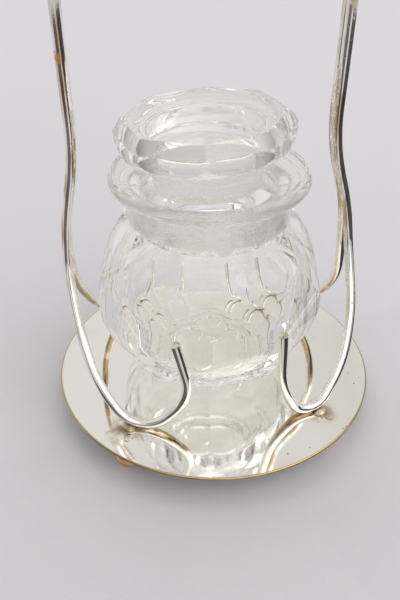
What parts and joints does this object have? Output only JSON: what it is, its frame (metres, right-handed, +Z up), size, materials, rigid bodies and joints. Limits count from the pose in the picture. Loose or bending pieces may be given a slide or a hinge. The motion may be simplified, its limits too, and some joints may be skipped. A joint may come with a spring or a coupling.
{
  "type": "preserve jar cruet in a handled stand",
  "caption": "Facet-cut glass preserve jar with a ground glass stopper, held by wire hooks on a round domed tray with ball feet and a tall loop handle.",
  "frame": {"origin": "on the table, under the centre of the tray, level with the bottoms of the ball feet", "axes": "+Z up; +X and -X through the two upright arms of the handle; -Y towards the front pair of hooks"},
  "size_m": [0.14, 0.14, 0.2229],
  "materials": {
    "silver_plate": "polished silver plate over brass, worn to the brass on edges",
    "worn_foot_plate": "plate worn through to a coppery metal",
    "brass": "tarnished brass under thin plate",
    "solder": "dull hard solder",
    "cut_glass": "clear cut and polished glass, ground inside the neck",
    "stopper_glass": "clear cut glass head, ground plug"
  },
  "bodies": {
    "stand": {"base_plate": "silver_plate", "ball_foot_front_left": "worn_foot_plate", "ball_foot_front_right": "worn_foot_plate", "ball_foot_rear_left": "worn_foot_plate", "ball_foot_rear_right": "worn_foot_plate", "foot_peg_front_left": "brass", "foot_peg_front_right": "brass", "foot_peg_rear_left": "brass", "foot_peg_rear_right": "brass", "front_wire": "silver_plate", "rear_wire": "silver_plate", "handle_solder_seam": "solder", "solder_joint_front_left": "solder", "solder_joint_front_right": "solder", "solder_joint_rear_left": "solder", "solder_joint_rear_right": "solder"},
    "jar": {"jar_body": "cut_glass"},
    "stopper": {"stopper": "stopper_glass"}
  },
  "joints": [
    {"name": "jar_lift", "type": "slide", "parent": "stand", "child": "jar", "axis": [0, 0, 1], "range_m": [0, 0.046]},
    {"name": "stopper_lift", "type": "slide", "parent": "jar", "child": "stopper", "axis": [0, 0, 1], "range_m": [0, 0.026]}
  ]
}
